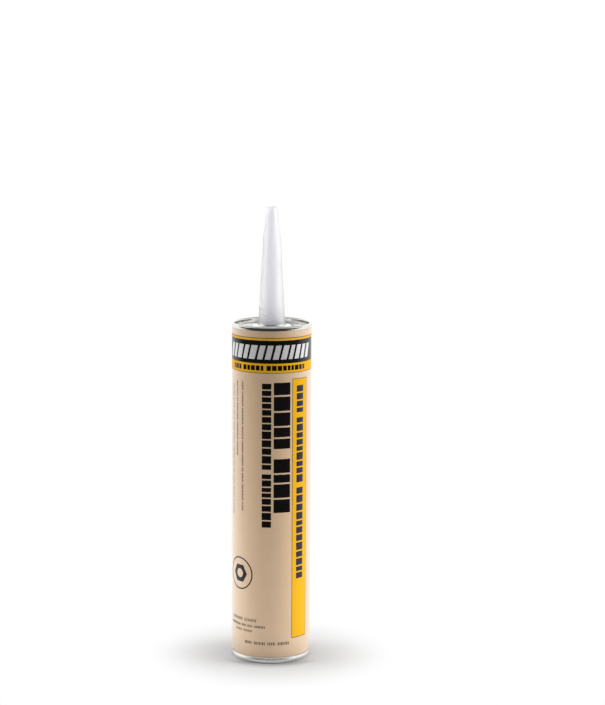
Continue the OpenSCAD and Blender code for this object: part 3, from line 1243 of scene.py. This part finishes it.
@dataclass(frozen=True)
class BlockRow:
    """A row of plain blocks that keeps the place, scale and weight of one line of print.

    The row runs from start to end, both (s, z), in groups of blocks. The blocks' lengths
    differ by up to vary of their mean, a gap parts one from the next, and a group from the
    next group by one more gap and a space.
    """

    name: str
    ink: Ink
    start: tuple[float, float]
    end: tuple[float, float]
    cap: float
    groups: tuple[int, ...]
    gap: float
    space: float = 0.0
    vary: float = 0.3
    slant: float = 0.0
    over_ink: bool = False

    def corners(self, rng: np.random.Generator) -> Array:
        """Corners of every block.

        The lengths are random shares of what gaps and spaces leave. Each block starts where
        the ones before it end, plus their gaps and spaces, and reaches half a cap to each
        side of the row, moved along it by slant times that.

        Args:
            rng: source of the lengths.

        Returns:
            An array of blocks by four corners by (s, z).
        """
        start, end = np.array(self.start), np.array(self.end)
        length = np.linalg.norm(end - start)
        along = (end - start) / length
        across = np.array([-along[1], along[0]])
        count = sum(self.groups)
        spaces = self.space * np.repeat(np.arange(len(self.groups)), self.groups)
        shares = rng.uniform(1 - self.vary, 1 + self.vary, count)
        taken = self.gap * (count - 1) + self.space * (len(self.groups) - 1)
        lengths = shares / shares.sum() * (length - taken)
        near = np.concatenate([[0], np.cumsum(lengths + self.gap)[:-1]]) + spaces
        far = near + lengths
        half = self.cap / 2
        sides = ((near, -half), (far, -half), (far, half), (near, half))
        return np.stack([
            start + (reach + self.slant * side)[:, None] * along + side * across
            for reach, side in sides
        ], axis=1)


@dataclass
class Print:
    """The print on the wrap: the fields of colour and the plain marks on and between them."""

    finishes: Finishes
    panel_w: float = 79.0
    panel_turn: float = -5.5
    rule_z: tuple[float, float] = (207.7, 208.9)
    black_z: tuple[float, float] = (193.1, 207.5)
    yellow_z: tuple[float, float] = (187.3, 193.1)
    stripe_z: tuple[float, float] = (16.1, 182.7)
    stripe_w: float = 12.0
    stripe_turn: float = 46.6
    outline_w: float = 0.35
    sink: float = 0.01
    fine_pitch: float = 0.64
    fine_gap: float = 0.28
    fine_space: float = 0.6
    fine_vary: float = 0.5
    fine_groups: tuple[int, int] = (3, 14)
    mark_place: tuple[float, float] = (-51.0, 57.0)
    mark_ring: tuple[float, float] = (10.5, 9.7)
    mark_nut: tuple[float, float] = (5.4, 2.9)
    mark_steps: tuple[int, int] = (144, 4)
    seed: int = 7

    @staticmethod
    def _box(s0: float, s1: float, z0: float, z1: float) -> Array:
        """Corners of an upright field."""
        return np.array([(s0, z0), (s1, z0), (s1, z1), (s0, z1)])

    def _layer(self, over_ink: bool) -> tuple[float, float]:
        """Inner and outer radius of a film that lies on the paper or, if so said, on ink."""
        base = SIZES.wrap_r + (SIZES.ink_t if over_ink else 0.0)
        return base - self.sink, base + (SIZES.over_ink_t if over_ink else SIZES.ink_t)

    def _field(self, *boxes: Array, over_ink: bool = False) -> Surface:
        """Films between corners, on the paper or on ink."""
        first, *rest = [patch(box, *self._layer(over_ink)) for box in boxes]
        return first.joined(*rest)

    def fields(self) -> None:
        """Makes the rule, the bands, the stripe and the dark outlines."""
        middle = SIZES.s_of(self.panel_turn)
        left, right = middle - self.panel_w / 2, middle + self.panel_w / 2
        stripe = SIZES.s_of(self.stripe_turn)
        stripe_0, stripe_1 = stripe - self.stripe_w / 2, stripe + self.stripe_w / 2
        foot, head = self.stripe_z
        line = self.outline_w
        sheets = {
            ("black_field", Ink.BLACK, "black_band"): [self._box(left, right, *self.black_z)],
            ("yellow_field", Ink.YELLOW, "yellow_band"): [self._box(left, right, *self.yellow_z)],
            ("yellow_line", Ink.YELLOW, "yellow_rule"): [self._box(left, right, *self.rule_z)],
            ("stripe_field", Ink.YELLOW, "yellow_stripe"): [self._box(stripe_0, stripe_1, foot, head)],
            ("outline_lines", Ink.DARK, "dark_outlines"): [
                self._box(left, right, self.rule_z[1], self.rule_z[1] + line),
                self._box(left, right, self.yellow_z[0] - line, self.yellow_z[0]),
                self._box(stripe_0 - line, stripe_0, foot - line, head + line),
                self._box(stripe_1, stripe_1 + line, foot - line, head + line),
                self._box(stripe_0, stripe_1, foot - line, foot),
                self._box(stripe_0, stripe_1, head, head + line),
            ],
        }
        for (name, ink, node), boxes in sheets.items():
            make_piece(self._field(*boxes), PieceWords(name, ink.value, (node,)), self.finishes)

    def rows(self) -> list[BlockRow]:
        """The rows of plain blocks, placed as the lines of print are.

        Returns:
            The rows.
        """
        s = SIZES.s_of
        return [
            BlockRow("tall_blocks", Ink.BLACK, (s(16.4), 181.0), (s(16.4), 98.1),
                     cap=10.8, groups=(5, 4), gap=1.1, space=5.5),
            BlockRow("middle_blocks", Ink.BLACK, (s(-6.2), 180.5), (s(-6.2), 88.6),
                     cap=5.9, groups=(12, 8), gap=0.85, space=2.2),
            BlockRow("stripe_blocks", Ink.NAVY, (s(46.1), 178.5), (s(46.1), 54.3),
                     cap=5.6, groups=(4, 9, 12), gap=1.0, space=2.4, over_ink=True),
            BlockRow("band_bars", Ink.SILVER, (s(-74.0), 200.1), (s(65.5), 200.1),
                     cap=8.8, groups=(13,), gap=1.5, slant=0.25, over_ink=True),
            BlockRow("tag_blocks", Ink.BLACK, (s(-66.0), 190.2), (s(55.0), 190.2),
                     cap=3.1, groups=(3, 5, 9), gap=0.7, space=1.3, over_ink=True),
        ]

    def small_line(self, start: tuple[float, float], end: tuple[float, float], cap: float,
                   rng: np.random.Generator) -> Array:
        """Corners of a line of fine marks in groups of mixed length, as small print looks.

        Args:
            start: (s, z) where the line starts.
            end: (s, z) where it ends.
            cap: how tall the marks are.
            rng: source of the groups and of the marks' lengths.

        Returns:
            An array of marks by four corners by (s, z).
        """
        cells = round(math.dist(start, end) / (self.fine_pitch * cap))
        groups: list[int] = []
        while sum(groups) + len(groups) < cells - 2:
            groups.append(int(rng.integers(*self.fine_groups)))
        row = BlockRow("line", Ink.GREY, start, end, cap, tuple(groups),
                       self.fine_gap * cap, self.fine_space * cap, self.fine_vary)
        return row.corners(rng)

    def small_lines(self, rng: np.random.Generator) -> Surface:
        """Fine lines down the left of the front and across its foot.

        Args:
            rng: source of the marks' lengths and groups.

        Returns:
            The lines as one surface.
        """
        s = SIZES.s_of
        lines = [
            ((s(-45.4), 180.7), (s(-45.4), 97.9), 1.3),
            ((s(-57.4), 180.5), (s(-57.4), 133.0), 1.3),
            ((s(-69.4), 178.0), (s(-69.4), 94.0), 1.3),
            ((s(-68.9), 27.4), (s(-21.2), 27.4), 1.9),
            ((s(-72.9), 23.6), (s(-8.1), 23.6), 1.5),
            ((s(-60.2), 20.3), (s(-28.1), 20.3), 1.5),
            ((s(-40.1), 12.9), (s(27.6), 12.9), 1.9),
        ]
        return self._field(*np.concatenate([self.small_line(*line, rng) for line in lines]))

    def round_mark(self) -> Surface:
        """A plain ring with a six-sided nut in it.

        The ring lies between two circles. The nut's outer edge is its flat's distance over
        cos(turn within a sixth, from the flat's middle), and its hole is a circle.

        Returns:
            Both films as one surface.
        """
        middle_turn, middle_z = self.mark_place
        ring_r, ring_inner = self.mark_ring
        nut_flat, nut_hole = self.mark_nut
        around, across = self.mark_steps
        turn = np.linspace(0, math.tau, around + 1)[:-1, None]
        sector = (turn % (math.tau / 6)) - math.tau / 12
        shares = np.linspace(0, 1, across + 1)[None, :]
        parts = []
        for outer, inner in ((ring_r + 0 * turn, ring_inner), (nut_flat / np.cos(sector), nut_hole)):
            reach = outer + (inner - outer) * shares
            s = SIZES.s_of(middle_turn) + reach * np.cos(turn)
            z = middle_z + reach * np.sin(turn)
            parts.append(film(s, z, *self._layer(False), closed=True))
        return parts[0].joined(*parts[1:])

    def build(self) -> None:
        """Makes the fields of colour and the marks."""
        self.fields()
        rng = np.random.default_rng(self.seed)
        for row in self.rows():
            slot = Ink.DARK.value if row.ink in (Ink.NAVY, Ink.SILVER) else ""
            surface = self._field(*row.corners(rng), over_ink=row.over_ink)
            make_piece(surface, PieceWords(row.name, row.ink.value, slot=slot), self.finishes)
        words = PieceWords("small_marks", Ink.GREY.value, slot=Ink.DARK.value)
        make_piece(self.small_lines(rng), words, self.finishes)
        make_piece(self.round_mark(), PieceWords("round_mark", Ink.BLACK.value), self.finishes)


@dataclass
class Inside:
    """The solids that keep their own shape: board, liner, compound, seal and plunger."""

    finishes: Finishes
    nodes: tuple[tuple[str, str], ...] = (
        ("board_tube", "wound_board"),
        ("foil_liner", "liner_foil"),
        ("seam_compound", "compound"),
        ("foil_seal", "seal_foil"),
        ("plunger", "plunger_plastic"),
    )

    def build(self) -> None:
        """Gives each solid its finish."""
        for node, finish in self.nodes:
            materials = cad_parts[node].data.materials
            materials.clear()
            materials.append(self.finishes[finish])


@dataclass
class Filling:
    """The adhesive: a column in the bore, and what fills the middle of the front end."""

    finishes: Finishes
    foot_z: float = 45.62
    column_top: float = 211.1
    head_top: float = 212.4
    head_r: float = 19.4
    left_h: float = 0.48
    columns: int = 192
    ring_w: float = 2.0

    def block(self, z0: float, z1: float, r: float) -> Surface:
        """A round block of paste from z0 to z1, its ends ringed every ring_w."""
        outline = np.array([(0, z0), (r, z0), (r, z1), (0, z1)], float)
        return revolved(split_line(outline, self.ring_w), self.columns, poles=True)

    def build(self) -> None:
        """Makes both, and gives the column a mesh of its own."""
        for name, z0, z1, r in (
            ("adhesive_column", self.foot_z, self.column_top, SIZES.bore_r),
            ("adhesive_head", self.column_top, self.head_top, self.head_r),
        ):
            words = PieceWords(name, "adhesive_paste", ("adhesive",))
            piece = make_piece(self.block(z0, z1, r), words, self.finishes)
            if name == "adhesive_column":
                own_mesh(piece)


@dataclass(frozen=True)
class CameraPose:
    """Where the photograph was taken from, and its lens."""

    place: tuple[float, float, float] = (0.019515, -1.28825, 0.39461)
    pitch_deg: float = 8.744
    roll_deg: float = 0.296
    focal_px: float = 2056.86
    picture_h_px: float = 705.0
    sensor_mm: float = 36.0
    clip_start_m: float = 0.01

    def build(self) -> None:
        """Makes the camera and makes it the scene's own."""
        data = bpy.data.cameras.new("camera")
        data.sensor_width = self.sensor_mm
        data.lens = self.focal_px * self.sensor_mm / self.picture_h_px
        data.clip_start = self.clip_start_m
        camera = bpy.data.objects.new("camera", data)
        camera.location = self.place
        camera.rotation_mode = "ZYX"
        camera.rotation_euler = (math.radians(90 - self.pitch_deg), 0.0, math.radians(self.roll_deg))
        bpy.context.scene.collection.objects.link(camera)
        bpy.context.scene.camera = camera


@dataclass(frozen=True)
class SoftBox:
    """A soft box: its place and what it faces in metres, its sides and its power."""

    name: str
    place: tuple[float, float, float]
    target: tuple[float, float, float]
    width: float
    height: float
    power: float

    def build(self) -> None:
        """Makes the lamp, turned so that it faces its target."""
        data = bpy.data.lights.new(self.name, "AREA")
        data.shape = "RECTANGLE"
        data.size = self.width
        data.size_y = self.height
        data.energy = self.power
        lamp = bpy.data.objects.new(self.name, data)
        lamp.location = self.place
        direction = Vector(self.target) - Vector(self.place)
        lamp.rotation_euler = direction.to_track_quat("-Z", "Y").to_euler()
        lamp.visible_glossy = False
        bpy.context.scene.collection.objects.link(lamp)


@dataclass
class Studio:
    """A white sweep lit from both sides and above, with a dark room behind the camera.

    A reach holds the two values between which a smooth step runs.
    """

    ambient: float = 0.96
    back_level: float = 0.3
    back_reach: tuple[float, float] = (-0.95, -0.1)
    gloss_level: float = 1.1
    top_level: float = 0.3
    top_reach: tuple[float, float] = (0.35, 0.8)
    bounce: float = 1.8
    bounce_end: float = 0.2
    bounce_reach: tuple[float, float] = (0.12, 0.42)
    front_level: float = 0.04
    front_way: tuple[float, float, float] = (-0.12, -0.993, 0.0)
    air_reach: tuple[float, float] = (0.1, 0.92)
    floor_reach: tuple[float, float] = (-0.35, 0.15)
    front_top: tuple[float, float] = (0.2, 0.55)
    front_foot: tuple[float, float] = (0.5, 1.1)
    steep: tuple[float, float] = (0.2, 0.45)
    steep_shift: float = -0.45
    middle_h: float = 0.11
    floor_half: float = 4.0
    floor_roughness: float = 0.7
    floor_colour: Colour = (0.56, 0.565, 0.57)
    # Painted shadow on the floor round the foot: its colour, and the smooth steps of distance and of y over
    # it that end it.
    painted_foot_shadow: Colour = (0.33, 0.328, 0.325)
    foot_shadow_reach: tuple[float, float] = (0.0255, 0.036)
    foot_shadow_sides: tuple[float, float] = (-0.95, -0.4)
    white_from: tuple[float, float] = (0.027, 0.082)
    boxes: tuple[SoftBox, ...] = (
        SoftBox("left_box", (-0.94, 0.12, 0.3), (0.0, 0.0, 0.15), width=0.6, height=0.9, power=7.5),
        SoftBox("right_box", (0.95, 0.0, 0.3), (0.0, 0.0, 0.15), width=0.6, height=0.9, power=11.5),
        SoftBox("top_box", (0.0, 0.25, 1.2), (0.0, 0.0, 0.1), width=0.9, height=0.7, power=4.0),
    )

    def mirrored(self, tree: Tree, direction: Socket, reach: tuple[float, float]) -> Socket:
        """Level that gloss sees in a direction: white all round, and dark at the front.

        The darkness is a smooth step of the direction's share along front_way, times smooth
        steps of its z that end it above and below. Steeply down it is narrower, because the
        share is shifted there.

        Args:
            tree: where the nodes go.
            direction: unit vector from the object.
            reach: shares at which the darkness starts and is full.

        Returns:
            The level, from front_level to one.
        """
        up = tree.axes(direction)["Z"]
        down = tree.times(up, -1.0)
        share = tree.vectors("DOT_PRODUCT", direction, self.front_way)["Value"]
        shift = tree.ramp(down, *self.steep, 0.0, self.steep_shift)
        front = tree.ramp(tree.maths("ADD", share, shift), *reach)
        below_top = tree.ramp(up, *self.front_top, 1.0, 0.0)
        above_foot = tree.ramp(down, *self.front_foot, 1.0, 0.0)
        dark = tree.times(front, tree.times(below_top, above_foot))
        return tree.spread(dark, self.front_level - 1.0, 1.0)

    @staticmethod
    def by_ray(tree: Tree, rest: object, gloss: object) -> Socket:
        """One for camera and transmitted rays, gloss for glossy rays, and rest for all others.

        Each choice is first + flag * (second - first).

        Args:
            tree: where the nodes go.
            rest: value or socket for diffuse rays.
            gloss: value or socket for glossy rays.

        Returns:
            The chosen value.
        """
        ray = tree.add("LightPath").outputs
        plain = tree.maths("MAXIMUM", ray["Is Camera Ray"], ray["Is Transmission Ray"])
        lit = tree.spread(ray["Is Glossy Ray"], tree.maths("SUBTRACT", gloss, rest), rest)
        return tree.spread(plain, tree.maths("SUBTRACT", 1.0, lit), lit)

    def world(self) -> None:
        """Makes the surroundings: white to the camera, and dark at the front to gloss and the rest.

        What lights the object's back is dimmer than what lights its sides, by a smooth step
        of the direction's share along front_way. Gloss sees a dim ceiling, by one of z.
        """
        world = bpy.data.worlds.new("studio")
        world.use_nodes = True
        tree = Tree(world.node_tree)
        world.node_tree.nodes.clear()
        direction = tree.add("TexCoord").outputs["Generated"]
        seen = self.mirrored(tree, direction, self.air_reach)
        share = tree.vectors("DOT_PRODUCT", direction, self.front_way)["Value"]
        behind = tree.ramp(share, *self.back_reach, self.back_level, 1.0)
        lit = tree.times(tree.times(seen, self.ambient), behind)
        ceiling = tree.ramp(tree.axes(direction)["Z"], *self.top_reach, self.gloss_level,
                            self.gloss_level * self.top_level)
        strength = self.by_ray(tree, lit, tree.times(seen, ceiling))
        shader = tree.add("Background", {"Color": WHITE, "Strength": strength})
        tree.add("OutputWorld", {"Surface": shader.outputs["Background"]})
        world.cycles.sampling_method = "NONE"
        bpy.context.scene.world = world

    def floor(self) -> None:
        """Makes the floor: pale with the object's shadow near it, and white further out.

        It has a painted shadow, darkest in front of the foot, by smooth steps of the distance and of y over
        it.
        In the far floor, gloss sees the level that it would see in the surroundings, from the
        object's middle, and all other rays get the light that the floor throws back. From
        below the floor is clear.
        """
        half = self.floor_half
        mesh = bpy.data.meshes.new("floor")
        mesh.from_pydata([(-half, -half, 0), (half, -half, 0), (half, half, 0), (-half, half, 0)], [],
                         [(0, 1, 2, 3)])
        floor = bpy.data.objects.new("floor", mesh)
        bpy.context.scene.collection.objects.link(floor)
        material = bpy.data.materials.new("floor")
        material.use_nodes = True
        tree = Tree(material.node_tree)
        material.node_tree.nodes.clear()
        place = tree.add("TexCoord").outputs["Object"]
        from_middle = tree.vectors("ADD", place, (0.0, 0.0, -self.middle_h))["Vector"]
        outward = tree.vectors("NORMALIZE", from_middle)["Vector"]
        seen = self.mirrored(tree, outward, self.floor_reach)
        reach = tree.vectors("LENGTH", place)["Value"]
        bounced = tree.ramp(reach, *self.bounce_reach, self.bounce, self.bounce_end)
        white = tree.add("Emission", {"Color": WHITE, "Strength": self.by_ray(tree, bounced, seen)})
        # Painted shadow: the floor's colour darkens close to the foot, most of all in front of it.
        across = tree.maths("DIVIDE", tree.axes(place)["Y"], reach)
        lit = tree.maths("MAXIMUM", tree.ramp(reach, *self.foot_shadow_reach), tree.ramp(across, *self.foot_shadow_sides))
        tone = tree.blend(lit, rgba(self.painted_foot_shadow), rgba(self.floor_colour))
        paper = tree.add("BsdfPrincipled", {"Base Color": tone, "Roughness": self.floor_roughness})
        far = tree.ramp(reach, *self.white_from)
        mixed = tree.add("MixShader", {"Fac": far, 1: paper.outputs["BSDF"], 2: white.outputs["Emission"]})
        below = tree.add("NewGeometry").outputs["Backfacing"]
        clear = tree.add("BsdfTransparent").outputs["BSDF"]
        one_sided = tree.add("MixShader", {"Fac": below, 1: mixed.outputs["Shader"], 2: clear})
        tree.add("OutputMaterial", {"Surface": one_sided.outputs["Shader"]})
        material.cycles.emission_sampling = "NONE"
        mesh.materials.append(material)

    def build(self) -> None:
        """Makes the surroundings, the floor and the lamps."""
        self.world()
        self.floor()
        for box in self.boxes:
            box.build()
        bpy.context.scene.view_settings.view_transform = "Standard"


def main() -> None:
    """Makes the camera and studio, then the cartridge from the wall outwards."""
    logging.basicConfig(level=logging.INFO, format="%(name)s: %(message)s")
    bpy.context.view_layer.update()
    CameraPose().build()
    Studio().build()
    finishes = Finishes()
    Inside(finishes).build()
    Filling(finishes).build()
    Wall(finishes).build()
    Ends(finishes).build()
    Nozzle(finishes).build()
    Print(finishes).build()
    bpy.context.view_layer.update()


if __name__ == "__main__":
    main()
